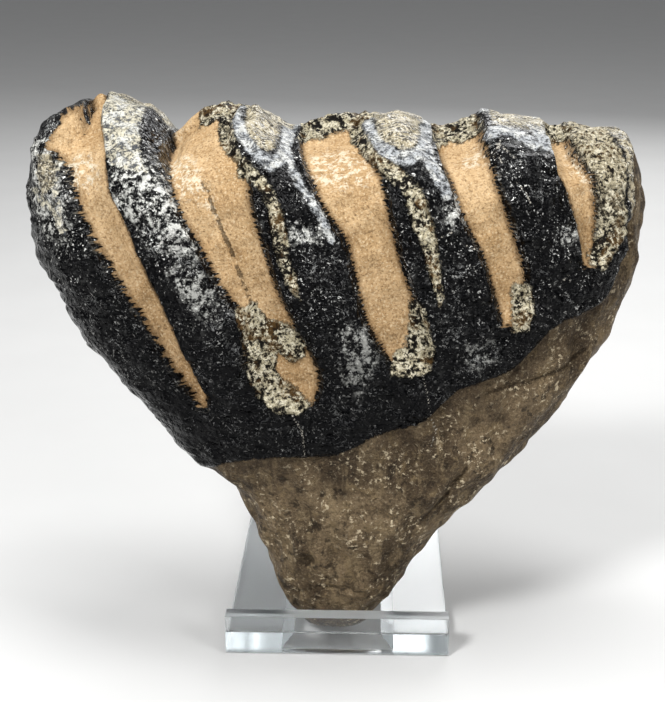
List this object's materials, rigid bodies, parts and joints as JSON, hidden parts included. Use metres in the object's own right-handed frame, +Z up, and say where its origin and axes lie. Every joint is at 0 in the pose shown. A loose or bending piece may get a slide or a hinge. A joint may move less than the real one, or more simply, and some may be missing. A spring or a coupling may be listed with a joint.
{
  "type": "fossil mammoth tooth on a display stand",
  "caption": "Fossil mammoth molar with black enamel plates and tan cement, standing on its root tip in a clear acrylic stand with a front lip and a back rest.",
  "frame": {"origin": "bottom centre of the whole object's box, on the plane that the stand rests on", "axes": "+X along the tooth's length, to the right as seen from the front, +Y towards the back, away from the lip, +Z up"},
  "size_m": [0.2058, 0.1244, 0.1793],
  "materials": {
    "fossil_tooth": "glossy black enamel plates, matt tan cement in the valleys and a satin grey-brown root",
    "clear_acrylic": "clear polished sheet with frosted cut edges and fine scratches"
  },
  "bodies": {
    "root": {"mammoth_tooth": "fossil_tooth", "acrylic_stand": "clear_acrylic"}
  },
  "joints": []
}
